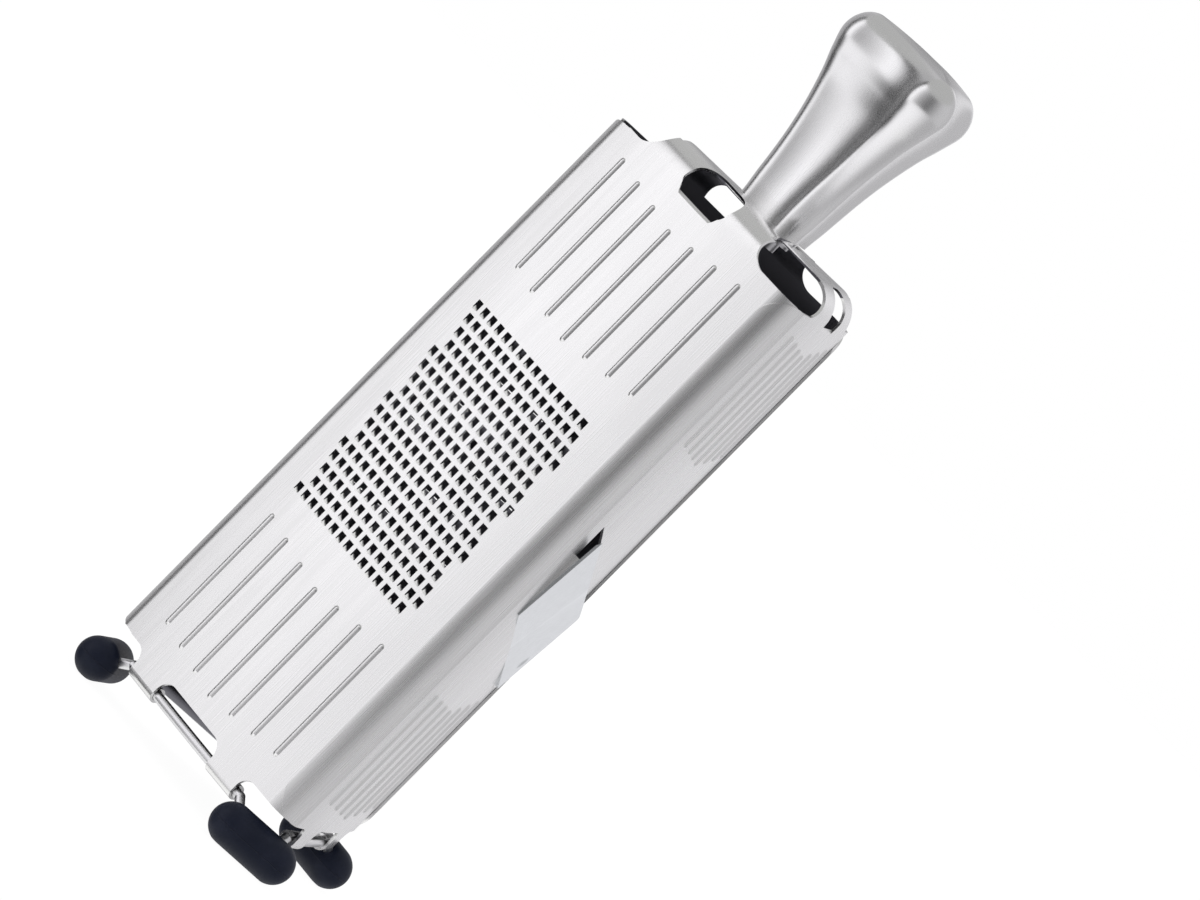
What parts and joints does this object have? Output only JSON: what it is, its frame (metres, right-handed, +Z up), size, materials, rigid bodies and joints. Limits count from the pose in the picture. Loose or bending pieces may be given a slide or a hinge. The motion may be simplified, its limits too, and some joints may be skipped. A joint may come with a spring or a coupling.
{
  "type": "tower grater",
  "caption": "Three-sided tower grater of folded steel sheet with fine teeth, a slicing blade, coarse holes, a flared three-lobed handle and a wire base on rubber feet.",
  "frame": {"origin": "on the three-fold axis, level with the bottom of the feet", "axes": "+Z up along the three-fold axis to the handle, -Y out of the fine panel"},
  "size_m": [0.1048, 0.0925, 0.286],
  "materials": {
    "brushed_sheet": "finely brushed along the height",
    "ground_blade": "smooth, slightly bluish",
    "steel_wire": "drawn bright wire",
    "foot_rubber": "satin, blue black",
    "handle_steel": "satin brushed",
    "fastener_steel": "turned"
  },
  "bodies": {
    "root": {"fine_panel": "brushed_sheet", "slicer_panel": "brushed_sheet", "coarse_panel": "brushed_sheet", "slicing_blade": "ground_blade", "base_wire": "steel_wire", "foot_left": "foot_rubber", "foot_right": "foot_rubber", "foot_rear": "foot_rubber", "handle_shell": "handle_steel", "handle_plug": "fastener_steel", "clamp_screw": "fastener_steel", "clamp_washer": "fastener_steel"}
  },
  "joints": []
}
